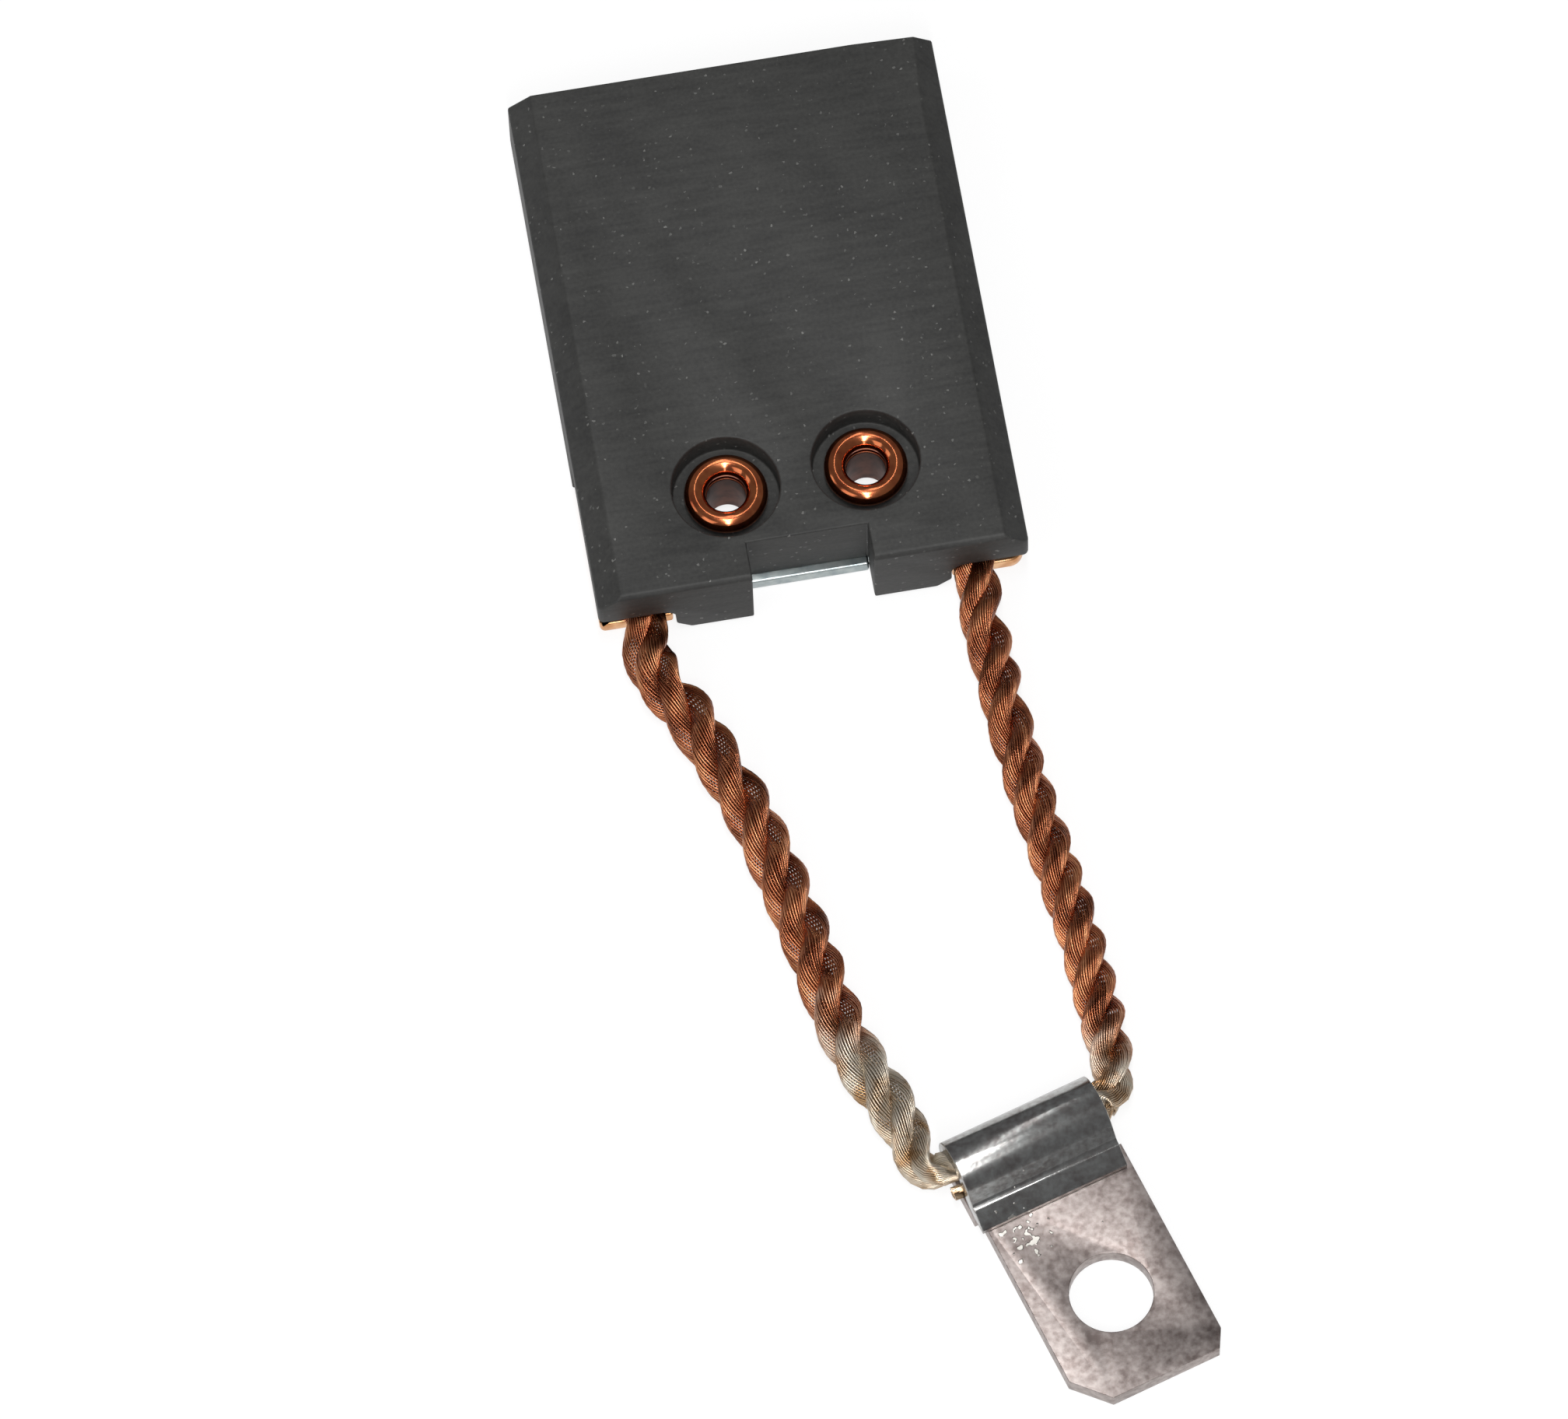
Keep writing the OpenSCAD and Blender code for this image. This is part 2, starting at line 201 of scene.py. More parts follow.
def tinned_strip():
    """Tinned brass: grey and slightly blue, warm and golden near its two ends."""
    material, tree, coords = bare_material("tinned brass strip")
    cloud = node(tree, "ShaderNodeTexNoise", ("Vector", coords), ("Scale", 1400), ("Detail", 4))
    tin = blend(tree, cloud, (0.3, "#8C979A"), (0.7, "#B9C0BE"))
    brass = blend(tree, cloud, (0.3, "#C98F5E"), (0.7, "#F0C294"))
    place = node(tree, "ShaderNodeSeparateXYZ", ("Vector", coords))
    out = node(tree, "ShaderNodeMath", (0, place), operation="ABSOLUTE")
    cut = node(tree, "ShaderNodeMapRange", ("Value", out), ("From Min", (half_block - 4.5) * MM),
               ("From Max", (half_block - 4) * MM))
    colour = node(tree, "ShaderNodeMix", ("Factor", cut), (6, tin), (7, brass), data_type="RGBA")
    bump = node(tree, "ShaderNodeBump", ("Height", cloud), ("Strength", 0.4),
                ("Distance", 0.01 * MM))
    shader = node(tree, "ShaderNodeBsdfPrincipled", ("Base Color", colour.outputs[2]),
                  ("Metallic", 1), ("Roughness", 0.33), ("Normal", bump))
    node(tree, "ShaderNodeOutputMaterial", ("Surface", shader))
    return material


dress("plate", "backing_plate", tinned_strip(), edge=0.2, segments=4)

# ---- Rivets ----
# Two tubular copper rivets. A roller has curled each head into a smooth ring on the
# counterbore's floor, and the back end is flared into the plate's countersink.

rivet_places = {"rivet_left": (-3.6, 5.25), "rivet_right": (3.6, 5.5)}
head_d = 4.26
roll_d = 1.1
shank_d = 2.8
rivet_bore_d = 2.0
flare_d = 3.7
flare_h = 0.45
head_floor = 3.35


def rivet_section():
    """The rivet's section as [radius, height], round from its back end, and the share
    of the way round at which the bore starts."""
    roll_x = (head_d - roll_d) / 2
    roll_z = head_floor + roll_d / 2
    wall = (shank_d - rivet_bore_d) / 2
    start = math.degrees(math.asin((shank_d / 2 - roll_x) / (roll_d / 2)))
    curl = [math.radians(a) for a in np.linspace(-90 + start, 180 + 72, 72)]
    outside = [(flare_d / 2 - wall, 0), (flare_d / 2, 0), (shank_d / 2, flare_h),
               (shank_d / 2, head_floor)]
    outside += [(roll_x + roll_d / 2 * math.cos(a), roll_z + roll_d / 2 * math.sin(a))
                for a in curl[2:]]
    bore = [(rivet_bore_d / 2, z) for z in (roll_z - 0.35, 2.4, 1.4, flare_h)]
    section = np.array([*outside, *bore, (flare_d / 2 - wall, 0)])
    steps = np.linalg.norm(np.diff(section, axis=0), axis=1)
    return section, steps[:len(outside)].sum() / steps.sum()


# The tree turns a section into a ring and lets its radius wander a little.
lathe = bpy.data.node_groups.new("turned ring", "GeometryNodeTree")
for name, way, kind in (
    ("Section", "INPUT", "NodeSocketGeometry"),
    ("Turns", "INPUT", "NodeSocketInt"),
    ("Rings", "INPUT", "NodeSocketInt"),
    ("Unevenness", "INPUT", "NodeSocketFloat"),
    ("Seed", "INPUT", "NodeSocketFloat"),
    ("Place", "INPUT", "NodeSocketVector"),
    ("Material", "INPUT", "NodeSocketMaterial"),
    ("Ring", "OUTPUT", "NodeSocketGeometry"),
):
    lathe.interface.new_socket(name, in_out=way, socket_type=kind)
given = node(lathe, "NodeGroupInput").outputs
section = node(lathe, "GeometryNodeMeshToCurve", ("Mesh", given["Section"]))
sheet = node(lathe, "GeometryNodeMeshGrid", ("Size X", 1), ("Size Y", 1),
             ("Vertices X", given["Turns"]), ("Vertices Y", given["Rings"]))
flat = node(lathe, "ShaderNodeSeparateXYZ", ("Vector", node(lathe, "GeometryNodeInputPosition")))
turn = node(lathe, "ShaderNodeMath", (0, flat.outputs["X"]), (1, math.tau), operation="MULTIPLY")
part = node(lathe, "ShaderNodeMath", (0, flat.outputs["Y"]), (1, 0.5), operation="ADD")
marked = node(lathe, "GeometryNodeStoreNamedAttribute", ("Geometry", sheet), ("Name", "round"),
              ("Value", part), data_type="FLOAT", domain="POINT")
sample = node(lathe, "GeometryNodeSampleCurve", ("Curves", section), ("Factor", part), mode="FACTOR")
spot = node(lathe, "ShaderNodeSeparateXYZ", ("Vector", sample.outputs["Position"]))
east = node(lathe, "ShaderNodeMath", (0, turn), operation="COSINE")
north = node(lathe, "ShaderNodeMath", (0, turn), operation="SINE")
where = node(lathe, "ShaderNodeCombineXYZ", ("X", east), ("Y", north), ("Z", given["Seed"]))
wander = node(lathe, "ShaderNodeTexNoise", ("Vector", where), ("Scale", 1.6), ("Detail", 2))
wander = node(lathe, "ShaderNodeMath", (0, wander), (1, 0.5), operation="SUBTRACT")
wander = node(lathe, "ShaderNodeMath", (0, wander), (1, given["Unevenness"]), operation="MULTIPLY")
radius = node(lathe, "ShaderNodeMath", (0, spot.outputs["X"]), (1, wander), operation="ADD")
x = node(lathe, "ShaderNodeMath", (0, radius), (1, east), operation="MULTIPLY")
y = node(lathe, "ShaderNodeMath", (0, radius), (1, north), operation="MULTIPLY")
ring = node(lathe, "ShaderNodeCombineXYZ", ("X", x), ("Y", y), ("Z", spot.outputs["Z"]))
ring = node(lathe, "ShaderNodeVectorMath", (0, ring), (1, given["Place"]), operation="ADD")
ring = node(lathe, "GeometryNodeSetPosition", ("Geometry", marked), ("Position", ring))
ring = node(lathe, "GeometryNodeMergeByDistance", ("Geometry", ring), ("Distance", 0.001 * MM))
ring = node(lathe, "GeometryNodeSetShadeSmooth", ("Geometry", ring), ("Shade Smooth", True))
ring = node(lathe, "GeometryNodeRealizeInstances", ("Geometry", ring))
ring = node(lathe, "GeometryNodeSetMaterial", ("Geometry", ring), ("Material", given["Material"]))
node(lathe, "NodeGroupOutput", ("Ring", ring))


def grow(start, tree, name, **inputs):
    """Runs a geometry tree on an object and leaves its result as a plain mesh piece."""
    modifier = start.modifiers.new("grow", "NODES")
    modifier.node_group = tree
    sockets = {i.name: i.identifier for i in tree.interface.items_tree if i.in_out == "INPUT"}
    for label, value in inputs.items():
        modifier[sockets[label.replace("_", " ")]] = value
    bpy.context.view_layer.update()
    seen = start.evaluated_get(bpy.context.evaluated_depsgraph_get())
    made = put(name, bpy.data.meshes.new_from_object(seen))
    start.modifiers.remove(modifier)
    bpy.data.objects.remove(start)
    return made


def rolled_copper(bore_from):
    """Copper that a roller has burnished, and the drawn bore that it left dull brown."""
    material, tree, coords = bare_material("burnished copper")
    cloud = node(tree, "ShaderNodeTexNoise", ("Vector", coords), ("Scale", 1500), ("Detail", 4))
    bright = blend(tree, cloud, (0.3, "#A8583A"), (0.65, "#D07C50"))
    dull = blend(tree, cloud, (0.3, "#3A231D"), (0.65, "#5E3B30"))
    round_ = node(tree, "ShaderNodeAttribute", attribute_name="round").outputs["Fac"]
    inside = node(tree, "ShaderNodeMapRange", ("Value", round_), ("From Min", bore_from - 0.04),
                  ("From Max", bore_from + 0.01))
    colour = node(tree, "ShaderNodeMix", ("Factor", inside), (6, bright), (7, dull), data_type="RGBA")
    rough = node(tree, "ShaderNodeMapRange", ("Value", inside), ("To Min", 0.14), ("To Max", 0.5))
    bump = node(tree, "ShaderNodeBump", ("Height", cloud), ("Strength", 0.25),
                ("Distance", 0.008 * MM))
    shader = node(tree, "ShaderNodeBsdfPrincipled", ("Base Color", colour.outputs[2]),
                  ("Metallic", 1), ("Roughness", rough), ("Normal", bump))
    node(tree, "ShaderNodeOutputMaterial", ("Surface", shader))
    return material


section, bore_from = rivet_section()
copper = rolled_copper(float(bore_from))
for name, (x, inward) in rivet_places.items():
    mesh = bpy.data.meshes.new("section")
    mesh.from_pydata([(r * MM, 0, z * MM) for r, z in section],
                     [(i, i + 1) for i in range(len(section) - 1)], [])
    piece = grow(put("section", mesh), lathe, name + "_ring", Turns=129, Rings=161,
                 Unevenness=0.04 * MM, Seed=x, Place=(x * MM, (lead_end + inward) * MM, 0),
                 Material=copper)
    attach(piece, "root")
    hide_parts(name)

# ---- Terminal ----
# One strip of tinned brass. Its end is folded back over the two leads and pressed down,
# which burnished the fold. The flat tab has a punched screw hole and two cut corners.

strip_w = 8.0
strip_t = 1.0
hole = Vector((8.13, lead_end - 39.56))
terminal_turn = math.radians(16.6)


def at_terminal(across, along):
    """A place beside the screw hole, across and along the strip, in the row's frame."""
    return hole + Matrix.Rotation(terminal_turn, 2) @ Vector((across, along))


def dull_tin():
    """Tin plate: mottled and matt on the tab, burnished by the press tool on the fold."""
    material, tree, coords = bare_material("tin plate")
    cloud = node(tree, "ShaderNodeTexNoise", ("Vector", coords), ("Scale", 900), ("Detail", 5))
    spots = node(tree, "ShaderNodeTexNoise", ("Vector", coords), ("Scale", 3200), ("Detail", 3))
    tone = node(tree, "ShaderNodeMath", (0, cloud), (1, spots), operation="ADD")
    share = node(tree, "ShaderNodeMapRange", ("Value", tone), ("From Min", 0.75), ("From Max", 1.25))
    matt = blend(tree, share, (0, "#827672"), (1, "#B4AAA6"))
    shiny = blend(tree, share, (0, "#8E8A88"), (1, "#B2B4B2"))
    height = node(tree, "ShaderNodeSeparateXYZ", ("Vector", coords)).outputs["Z"]
    fold = node(tree, "ShaderNodeMapRange", ("Value", height), ("From Min", strip_t * 1.05 * MM),
                ("From Max", strip_t * 1.3 * MM))
    # Small light spots, raised a little by a bump, lie on the tab just below the lip.
    middle = at_terminal(-2.2, 4.7) * MM
    from_middle = node(tree, "ShaderNodeVectorMath", (0, coords), (1, (*middle, strip_t * MM)),
                       operation="DISTANCE")
    near = node(tree, "ShaderNodeMapRange", ("Value", from_middle.outputs["Value"]),
                ("From Min", 0.6 * MM), ("From Max", 2.6 * MM), ("To Min", 0.56), ("To Max", 0.8))
    light_spots = node(tree, "ShaderNodeTexNoise", ("Vector", coords), ("Scale", 2600), ("Detail", 1))
    light_spots = node(tree, "ShaderNodeMath", (0, light_spots), (1, near), operation="SUBTRACT")
    light_spots = node(tree, "ShaderNodeMapRange", ("Value", light_spots), ("From Min", 0), ("From Max", 0.04))
    colour = node(tree, "ShaderNodeMix", ("Factor", fold), (6, matt), (7, shiny), data_type="RGBA")
    colour = node(tree, "ShaderNodeMix", ("Factor", light_spots), (6, colour.outputs[2]),
                  (7, linear("#E2DED6")), data_type="RGBA")
    rough = node(tree, "ShaderNodeMapRange", ("Value", cloud), ("From Min", 0.3),
                 ("From Max", 0.7), ("To Min", 0.32), ("To Max", 0.46))
    rough = node(tree, "ShaderNodeMix", ("Factor", fold), (2, rough), (3, 0.2))
    bump = node(tree, "ShaderNodeBump", ("Height", tone), ("Strength", 0.4),
                ("Distance", 0.012 * MM))
    bump = node(tree, "ShaderNodeBump", ("Height", light_spots), ("Strength", 1), ("Distance", 0.03 * MM),
                ("Normal", bump))
    shader = node(tree, "ShaderNodeBsdfPrincipled", ("Base Color", colour.outputs[2]),
                  ("Metallic", 1), ("Roughness", rough), ("Normal", bump))
    node(tree, "ShaderNodeOutputMaterial", ("Surface", shader))
    return material


terminal = dress("terminal_strip", "terminal", dull_tin(), edge=0.16, segments=4)

# ---- Leads ----
# Each lead is a limp rope of bare copper wire: three strands laid together, each a
# bundle of fine drawn wires. One end is pressed flat over the plate's ear, the other is
# tinned and squeezed in the terminal's fold.

lead_left_d = 2.7
lead_right_d = 2.4
plate_t = 0.8
plate_gap = 0.1
seat_w = 3.95
flat_w = 2.3
flat_h = 1.4
left_shift = 0.4
right_x = half_block - seat_w + plate_gap + flat_w / 2
left_x = -right_x - left_shift
loop_skew = 0.3
loop_in = 8.7
loop_left = -strip_w / 2 - loop_skew
loop_right = strip_w / 2 - loop_skew
far_along = loop_in + 0.2
near_along = loop_in - 0.7


def free(x, y, d):
    return (x, lead_end + y, d / 2 + 0.02, d, d)


def seated(x, y):
    return (x, lead_end + y, plate_t + flat_h / 2, flat_w, flat_h)


def gripped(across, along, z, w, h):
    return (*at_terminal(across, along), z, w, h)


left_route = [
    seated(left_x, 8.3),
    seated(left_x, 4),
    seated(left_x, 0.25),
    (left_x - 0.05, lead_end - 0.9, 1.25, 2.5, 2.1),
    free(-8.75, -2.2, lead_left_d),
    free(-8.3, -3.5, lead_left_d),
    free(-7.55, -4.8, lead_left_d),
    free(-6.65, -7.1, lead_left_d),
    free(-5.55, -9.9, lead_left_d),
    free(-4.8, -12.6, lead_left_d),
    free(-4.2, -15, lead_left_d),
    free(-3.6, -18, lead_left_d),
    free(-3.15, -20.6, lead_left_d),
    free(-2.65, -23.3, lead_left_d),
    free(-1.8, -26, lead_left_d),
    free(-0.8, -28.3, lead_left_d),
    free(-0.3, -30, 2.3),
    gripped(loop_left - 1.15, loop_in + 1.9, 1.15, 2.2, 2.15),
    gripped(loop_left - 0.95, loop_in + 1, 1.3, 2, 2.2),
    gripped(loop_left - 0.12, loop_in + 0.55, 1.45, 1.7, 2.4),
    gripped(loop_left + 0.3, far_along, 1.8, 1, 1.3),
    gripped(loop_right - 0.4, far_along, 1.8, 1, 1.3),
]
right_route = [
    seated(right_x, 8.3),
    seated(right_x, 4),
    seated(right_x, 0.25),
    (right_x - 0.03, lead_end - 0.9, 1.25, 2.3, 2.1),
    free(8.2, -2.4, lead_right_d),
    free(8.3, -5, lead_right_d),
    free(8.5, -8.5, lead_right_d),
    free(8.75, -11.5, lead_right_d),
    free(9.15, -14.5, lead_right_d),
    free(9.55, -17.5, lead_right_d),
    free(9.95, -20.5, lead_right_d),
    free(10.15, -23.5, lead_right_d),
    free(10.3, -26, lead_right_d),
    free(10.3, -27.6, 2.2),
    gripped(loop_right + 1.5, loop_in + 1.4, 1.15, 2.1, 2.1),
    gripped(loop_right + 1.05, loop_in + 0.75, 1.25, 2, 2.2),
    gripped(loop_right + 0.15, loop_in + 0.4, 1.4, 2, 2.3),
    gripped(loop_right - 0.3, near_along, 1.42, 0.76, 0.8),
    gripped(loop_left - 0.45, near_along, 1.42, 0.76, 0.8),
]


def smooth(route, step=0.33):
    """Points every step mm along a smooth curve through the route's points."""
    points = np.array(route, float)
    points = np.vstack([2 * points[0] - points[1], points, 2 * points[-1] - points[-2]])
    found = []
    for a, b, c, d in zip(points, points[1:], points[2:], points[3:]):
        spans = [math.sqrt(np.linalg.norm(q[:3] - o[:3])) for o, q in ((a, b), (b, c), (c, d))]
        t0, t1, t2, t3 = 0, spans[0], spans[0] + spans[1], sum(spans)
        count = max(2, round(np.linalg.norm(c[:3] - b[:3]) / step))
        for t in np.linspace(t1, t2, count, endpoint=False):
            ab = ((t1 - t) * a + (t - t0) * b) / (t1 - t0)
            bc = ((t2 - t) * b + (t - t1) * c) / (t2 - t1)
            cd = ((t3 - t) * c + (t - t2) * d) / (t3 - t2)
            abc = ((t2 - t) * ab + (t - t0) * bc) / (t2 - t0)
            bcd = ((t3 - t) * bc + (t - t1) * cd) / (t3 - t1)
            found.append(((t2 - t) * abc + (t - t1) * bcd) / (t2 - t1))
    found.append(points[-2])
    return np.array(found)


def lead_line(name, line, first_turn, first_lay, last_lay):
    """The middle of a lead as a chain of edges. Each point knows the rope's width,
    height and side there, and how many turns its strands have made."""
    mesh = bpy.data.meshes.new(name)
    mesh.from_pydata([Vector(q[:3]) * MM for q in line],
                     [(i, i + 1) for i in range(len(line) - 1)], [])
    ways = np.gradient(line[:, :2], axis=0)
    ways /= np.linalg.norm(ways, axis=1)[:, None]
    sides = np.column_stack([ways[:, 1], -ways[:, 0], np.zeros(len(line))])
    steps = np.linalg.norm(np.diff(line[:, :3], axis=0), axis=1)
    lays = np.linspace(first_lay, last_lay, len(steps))
    turns = first_turn - np.concatenate([[0], np.cumsum(steps / lays)])
    mesh.attributes.new("side", "FLOAT_VECTOR", "POINT").data.foreach_set("vector", sides.ravel())
    for label, values in (("half_w", line[:, 3] / 2 * MM), ("half_h", line[:, 4] / 2 * MM),
                          ("turns", turns)):
        mesh.attributes.new(label, "FLOAT", "POINT").data.foreach_set("value", values)
    return put(name, mesh)


# The tree lays the wires of a rope round its middle line. Every wire is a copy of that
# line, pushed out to its place in its strand and turned along the way by the two lays.
rope = bpy.data.node_groups.new("twisted rope", "GeometryNodeTree")
for name, way, kind in (
    ("Line", "INPUT", "NodeSocketGeometry"),
    ("Strands", "INPUT", "NodeSocketInt"),
    ("Wires in a strand", "INPUT", "NodeSocketInt"),
    ("Wire radius", "INPUT", "NodeSocketFloat"),
    ("Strand lay", "INPUT", "NodeSocketFloat"),
    ("Strand share", "INPUT", "NodeSocketFloat"),
    ("Looseness", "INPUT", "NodeSocketFloat"),
    ("Seed", "INPUT", "NodeSocketFloat"),
    ("Material", "INPUT", "NodeSocketMaterial"),
    ("Rope", "OUTPUT", "NodeSocketGeometry"),
):
    rope.interface.new_socket(name, in_out=way, socket_type=kind)
given = node(rope, "NodeGroupInput").outputs
line = node(rope, "GeometryNodeMeshToCurve", ("Mesh", given["Line"]))
count = node(rope, "ShaderNodeMath", (0, given["Strands"]), (1, given["Wires in a strand"]),
             operation="MULTIPLY")
wires = node(rope, "GeometryNodeDuplicateElements", ("Geometry", line), ("Amount", count),
             domain="SPLINE")
index = wires.outputs["Duplicate Index"]
far = node(rope, "GeometryNodeSplineParameter").outputs["Length"]
share = node(rope, "ShaderNodeMath", (0, index), (1, given["Wires in a strand"]), operation="DIVIDE")
strand = node(rope, "ShaderNodeMath", (0, share), operation="FLOOR")
within = node(rope, "ShaderNodeMath", (0, share), operation="FRACT")
# Wander: slow for a strand, quicker for a wire.
where = node(rope, "ShaderNodeCombineXYZ", ("X", far), ("Y", strand), ("Z", given["Seed"]))
where = node(rope, "ShaderNodeVectorMath", (0, where), (1, (150, 3.7, 1.3)), operation="MULTIPLY")
slow = node(rope, "ShaderNodeTexNoise", ("Vector", where), ("Scale", 1), ("Detail", 1))
where = node(rope, "ShaderNodeCombineXYZ", ("X", far), ("Y", index), ("Z", given["Seed"]))
where = node(rope, "ShaderNodeVectorMath", (0, where), (1, (420, 5.3, 2.9)), operation="MULTIPLY")
quick = node(rope, "ShaderNodeTexNoise", ("Vector", where), ("Scale", 1), ("Detail", 2))
sway = node(rope, "ShaderNodeMath", (0, slow), (1, 0.5), operation="SUBTRACT")
sway = node(rope, "ShaderNodeMath", (0, sway), (1, 0.2), operation="MULTIPLY")
turns = node(rope, "GeometryNodeInputNamedAttribute", ("Name", "turns"), data_type="FLOAT")
strand_angle = node(rope, "ShaderNodeMath", (0, strand), (1, given["Strands"]), operation="DIVIDE")
strand_angle = node(rope, "ShaderNodeMath", (0, strand_angle), (1, turns), operation="ADD")
strand_angle = node(rope, "ShaderNodeMath", (0, strand_angle), (1, sway), operation="ADD")
strand_angle = node(rope, "ShaderNodeMath", (0, strand_angle), (1, math.tau), operation="MULTIPLY")
wire_angle = node(rope, "ShaderNodeMath", (0, far), (1, given["Strand lay"]), operation="DIVIDE")
wire_angle = node(rope, "ShaderNodeMath", (0, within), (1, wire_angle), operation="ADD")
wire_angle = node(rope, "ShaderNodeMath", (0, wire_angle), (1, math.tau), operation="MULTIPLY")
loose = node(rope, "ShaderNodeMath", (0, quick), (1, 0.5), operation="SUBTRACT")
loose = node(rope, "ShaderNodeMath", (0, loose), (1, given["Looseness"]), operation="MULTIPLY")
wire_reach = node(rope, "ShaderNodeMath", (0, loose), (1, given["Strand share"]), operation="ADD")
strand_reach = node(rope, "ShaderNodeMath", (0, 1), (1, given["Strand share"]), operation="SUBTRACT")
across = []
for turn in ("COSINE", "SINE"):
    of_strand = node(rope, "ShaderNodeMath", (0, strand_angle), operation=turn)
    of_strand = node(rope, "ShaderNodeMath", (0, of_strand), (1, strand_reach), operation="MULTIPLY")
    of_wire = node(rope, "ShaderNodeMath", (0, wire_angle), operation=turn)
    of_wire = node(rope, "ShaderNodeMath", (0, of_wire), (1, wire_reach), operation="MULTIPLY")
    across.append(node(rope, "ShaderNodeMath", (0, of_strand), (1, of_wire), operation="ADD"))
half_w = node(rope, "GeometryNodeInputNamedAttribute", ("Name", "half_w"), data_type="FLOAT")
half_h = node(rope, "GeometryNodeInputNamedAttribute", ("Name", "half_h"), data_type="FLOAT")
side = node(rope, "GeometryNodeInputNamedAttribute", ("Name", "side"), data_type="FLOAT_VECTOR")
half_w = node(rope, "ShaderNodeMath", (0, half_w), (1, given["Wire radius"]), operation="SUBTRACT")
half_h = node(rope, "ShaderNodeMath", (0, half_h), (1, given["Wire radius"]), operation="SUBTRACT")
out = node(rope, "ShaderNodeMath", (0, across[0]), (1, half_w), operation="MULTIPLY")
up = node(rope, "ShaderNodeMath", (0, across[1]), (1, half_h), operation="MULTIPLY")
out = node(rope, "ShaderNodeVectorMath", (0, side), ("Scale", out), operation="SCALE")
up = node(rope, "ShaderNodeCombineXYZ", ("Z", up))
offset = node(rope, "ShaderNodeVectorMath", (0, out), (1, up), operation="ADD")
laid = node(rope, "GeometryNodeSetPosition", ("Geometry", wires), ("Offset", offset))
laid = node(rope, "GeometryNodeStoreNamedAttribute", ("Geometry", laid), ("Name", "along"),
            ("Value", far), data_type="FLOAT", domain="POINT")
laid = node(rope, "GeometryNodeStoreNamedAttribute", ("Geometry", laid), ("Name", "shade"),
            ("Value", quick), data_type="FLOAT", domain="POINT")
round_wire = node(rope, "GeometryNodeCurvePrimitiveCircle", ("Resolution", 5),
                  ("Radius", given["Wire radius"]))
laid = node(rope, "GeometryNodeCurveToMesh", ("Curve", laid), ("Profile Curve", round_wire),
            ("Fill Caps", True))
laid = node(rope, "GeometryNodeSetShadeSmooth", ("Geometry", laid), ("Shade Smooth", True))
laid = node(rope, "GeometryNodeRealizeInstances", ("Geometry", laid))
laid = node(rope, "GeometryNodeSetMaterial", ("Geometry", laid), ("Material", given["Material"]))
node(rope, "NodeGroupOutput", ("Rope", laid))


def copper_wire(name, tin_from):
    """Drawn copper wire, browned by handling, and silvery where solder has run up it
    from the terminal, from tin_from metres along the lead."""
    material, tree, coords = bare_material(name)
    along = node(tree, "ShaderNodeAttribute", attribute_name="along").outputs["Fac"]
    shade = node(tree, "ShaderNodeAttribute", attribute_name="shade").outputs["Fac"]
    patches = node(tree, "ShaderNodeTexNoise", ("Vector", coords), ("Scale", 700), ("Detail", 3))
    tone = node(tree, "ShaderNodeMath", (0, shade), (1, patches), operation="ADD")
    share = node(tree, "ShaderNodeMapRange", ("Value", tone), ("From Min", 0.75), ("From Max", 1.25))
    copper = blend(tree, share, (0, "#7E4A34"), (0.5, "#B06C4A"), (1, "#DE9C70"))
    tin = blend(tree, patches, (0.35, "#B08C62"), (0.6, "#D6CCBC"))
    up_to = node(tree, "ShaderNodeMath", (0, patches), (1, 6 * MM), operation="MULTIPLY")
    up_to = node(tree, "ShaderNodeMath", (0, along), (1, up_to), operation="ADD")
    tinned = node(tree, "ShaderNodeMapRange", ("Value", up_to), ("From Min", tin_from),
                  ("From Max", tin_from + 5 * MM))
    metal = node(tree, "ShaderNodeMix", ("Factor", tinned), (6, copper), (7, tin), data_type="RGBA")
    rough = node(tree, "ShaderNodeMapRange", ("Value", patches), ("From Min", 0.3),
                 ("From Max", 0.7), ("To Min", 0.2), ("To Max", 0.38))
    shader = node(tree, "ShaderNodeBsdfPrincipled", ("Base Color", metal.outputs[2]),
                  ("Metallic", 1), ("Roughness", rough))
    node(tree, "ShaderNodeOutputMaterial", ("Surface", shader))
    return material


# Such leads have wires of about 0.07 mm. They are drawn thicker, so that single ones show.
wire_d = 0.11


def lead(name, cad_node, route, tinned_l, first_turn, first_lay, last_lay):
    """A lead along a route: tinned over its last tinned_l mm, and with a strand making
    one turn every first_lay mm at the block and last_lay mm at the terminal."""
    line = smooth(route)
    length = float(np.linalg.norm(np.diff(line[:, :3], axis=0), axis=1).sum())
    wire = copper_wire("drawn copper wire " + name, (length - tinned_l) * MM)
    piece = grow(lead_line("middle", line, first_turn, first_lay, last_lay), rope, name,
                 Strands=3, Wires_in_a_strand=28, Wire_radius=wire_d / 2 * MM, Strand_lay=10 * MM,
                 Strand_share=0.5, Looseness=0.1, Seed=first_turn, Material=wire)
    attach(piece, "root")
    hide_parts(cad_node)
    return piece


lead("left_lead", "lead_left", left_route, tinned_l=11, first_turn=0.17,
     first_lay=8.2, last_lay=7.4)
lead("right_lead", "lead_right", right_route, tinned_l=6, first_turn=0.1,
     first_lay=7.8, last_lay=5)

# ---- Floor and lights ----
# A white table in a grey room, with narrow lamps overhead, in front and behind, and
# two weak panels at the left.

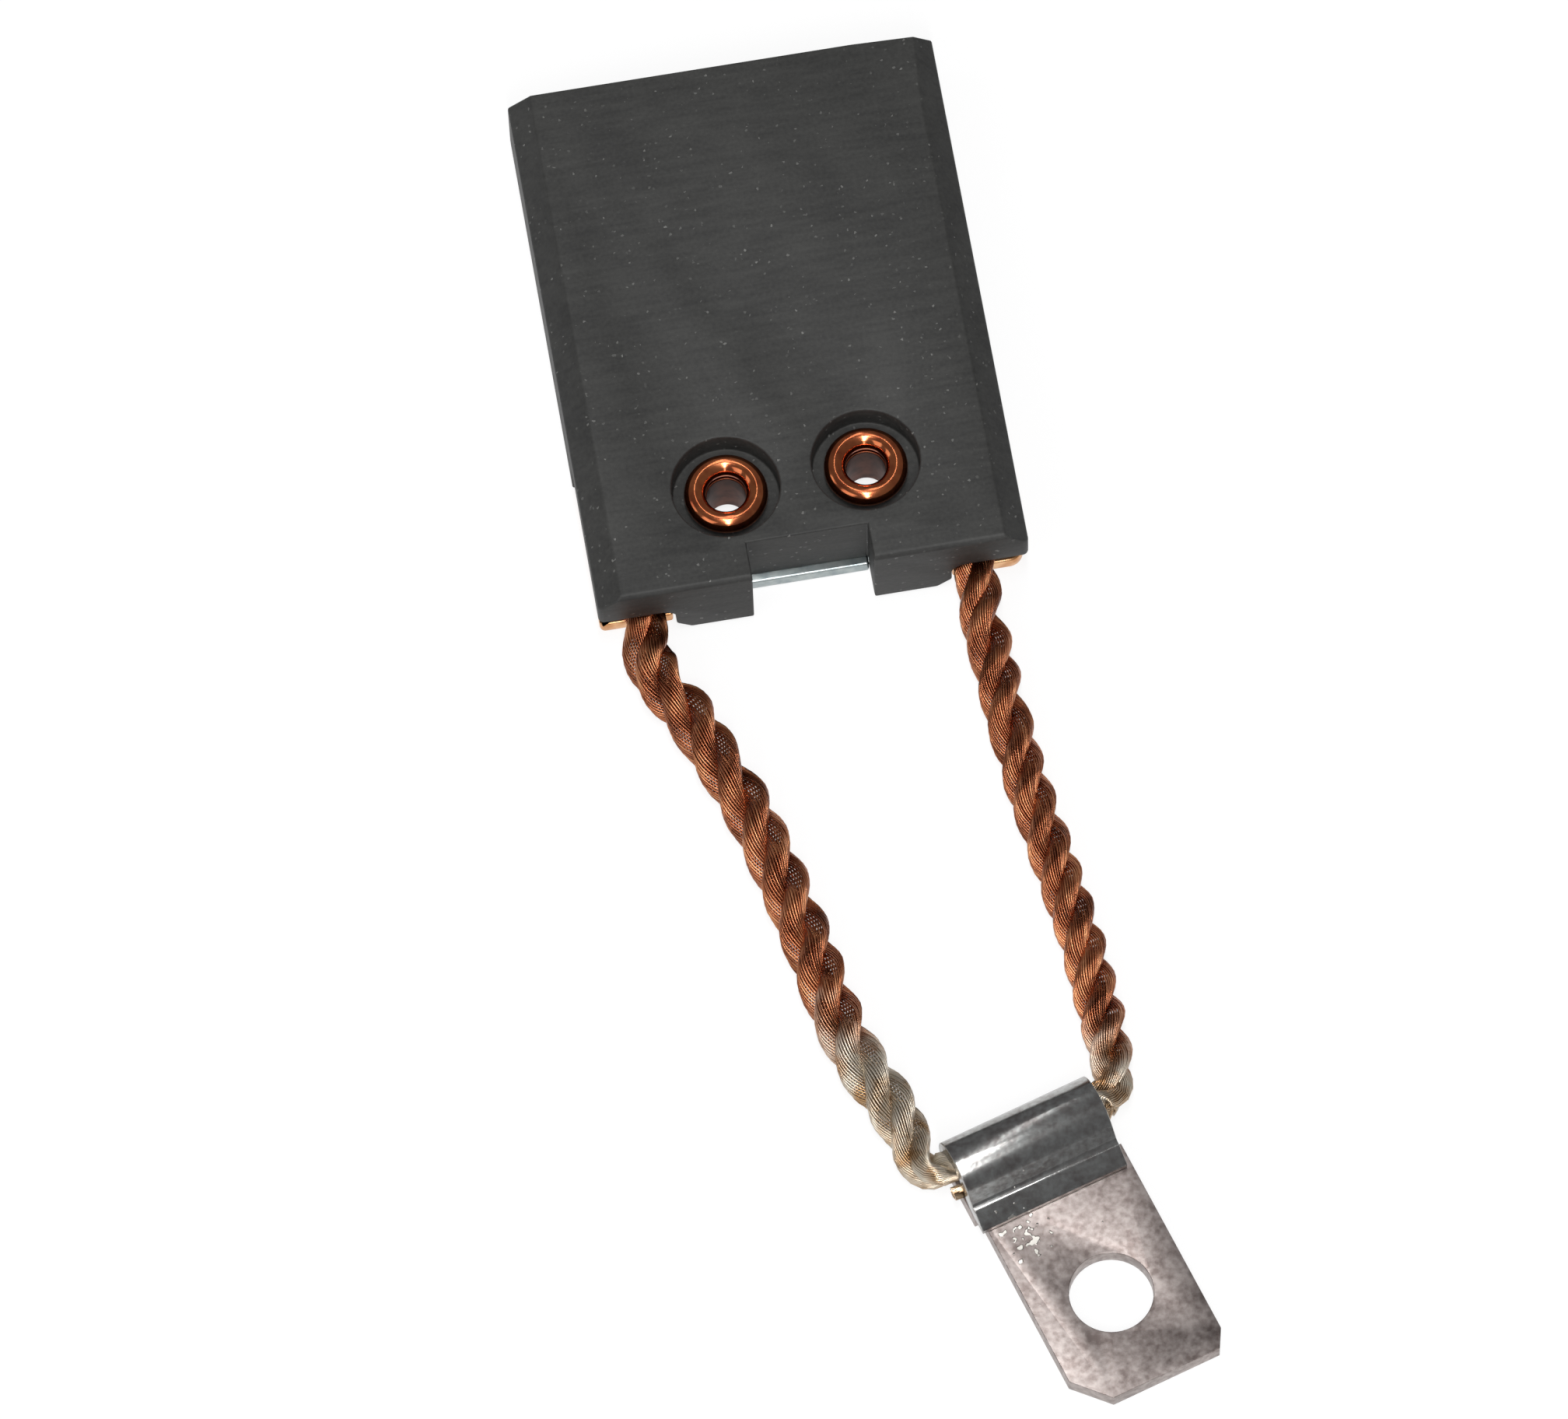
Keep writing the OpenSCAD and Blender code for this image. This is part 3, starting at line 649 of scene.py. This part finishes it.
reach = 3
lamp_distance = 0.75
floor_mesh = bpy.data.meshes.new("floor")
floor_mesh.from_pydata(
    [(x * reach, y * reach, -0.01 * MM) for x, y in ((-1, -1), (1, -1), (1, 1), (-1, 1))],
    [], [(0, 1, 2, 3)])
floor = put("floor", floor_mesh)
table, tree, coords = bare_material("white table")
ray = node(tree, "ShaderNodeLightPath").outputs
seen = node(tree, "ShaderNodeMath", (0, ray["Is Camera Ray"]), (1, ray["Is Glossy Ray"]),
            operation="MAXIMUM")
seen = node(tree, "ShaderNodeMath", (0, seen), (1, ray["Is Transmission Ray"]), operation="MAXIMUM")
plain = node(tree, "ShaderNodeBsdfDiffuse", ("Color", (0.35, 0.35, 0.35, 1)))
pale = node(tree, "ShaderNodeBsdfDiffuse", ("Color", (0.22, 0.22, 0.22, 1)))
glow = node(tree, "ShaderNodeEmission", ("Color", (1, 1, 1, 1)), ("Strength", 0.82))
bright = node(tree, "ShaderNodeAddShader", (0, pale), (1, glow))
table_top = node(tree, "ShaderNodeMixShader", ("Fac", seen), (1, plain), (2, bright))
node(tree, "ShaderNodeOutputMaterial", ("Surface", table_top))
floor_mesh.materials.append(table)

world = bpy.data.worlds.new("room")
world.use_nodes = True
world.node_tree.nodes["Background"].inputs["Color"].default_value = (0.2, 0.2, 0.205, 1)
bpy.context.scene.world = world


def panel(name, azimuth, elevation, width, height, strength):
    """A flat lamp that faces the brush from a direction round it and a height, both
    in degrees. Its strength sets how bright its face is."""
    lamp = bpy.data.lights.new(name, "AREA")
    lamp.shape = "RECTANGLE"
    lamp.size = width
    lamp.size_y = height
    lamp.energy = strength * math.pi * width * height
    a, e = math.radians(azimuth), math.radians(elevation)
    out = Vector((math.cos(a) * math.cos(e), math.sin(a) * math.cos(e), math.sin(e)))
    held = bpy.data.objects.new(name, lamp)
    aim = (-out).to_track_quat("-Z", "Y").to_matrix()
    held.matrix_world = Matrix.Translation(out * lamp_distance) @ aim.to_4x4()
    held.visible_camera = False
    bpy.context.scene.collection.objects.link(held)


panel("overhead lamp", azimuth=-95, elevation=70, width=0.05, height=0.7, strength=35)
panel("front lamp", azimuth=-95, elevation=24, width=0.05, height=0.5, strength=4)
panel("back lamp", azimuth=85, elevation=62, width=0.02, height=0.5, strength=8)
panel("left panel", azimuth=174, elevation=26, width=0.22, height=0.46, strength=1.2)
panel("left front panel", azimuth=217, elevation=36, width=0.32, height=0.56, strength=1.4)
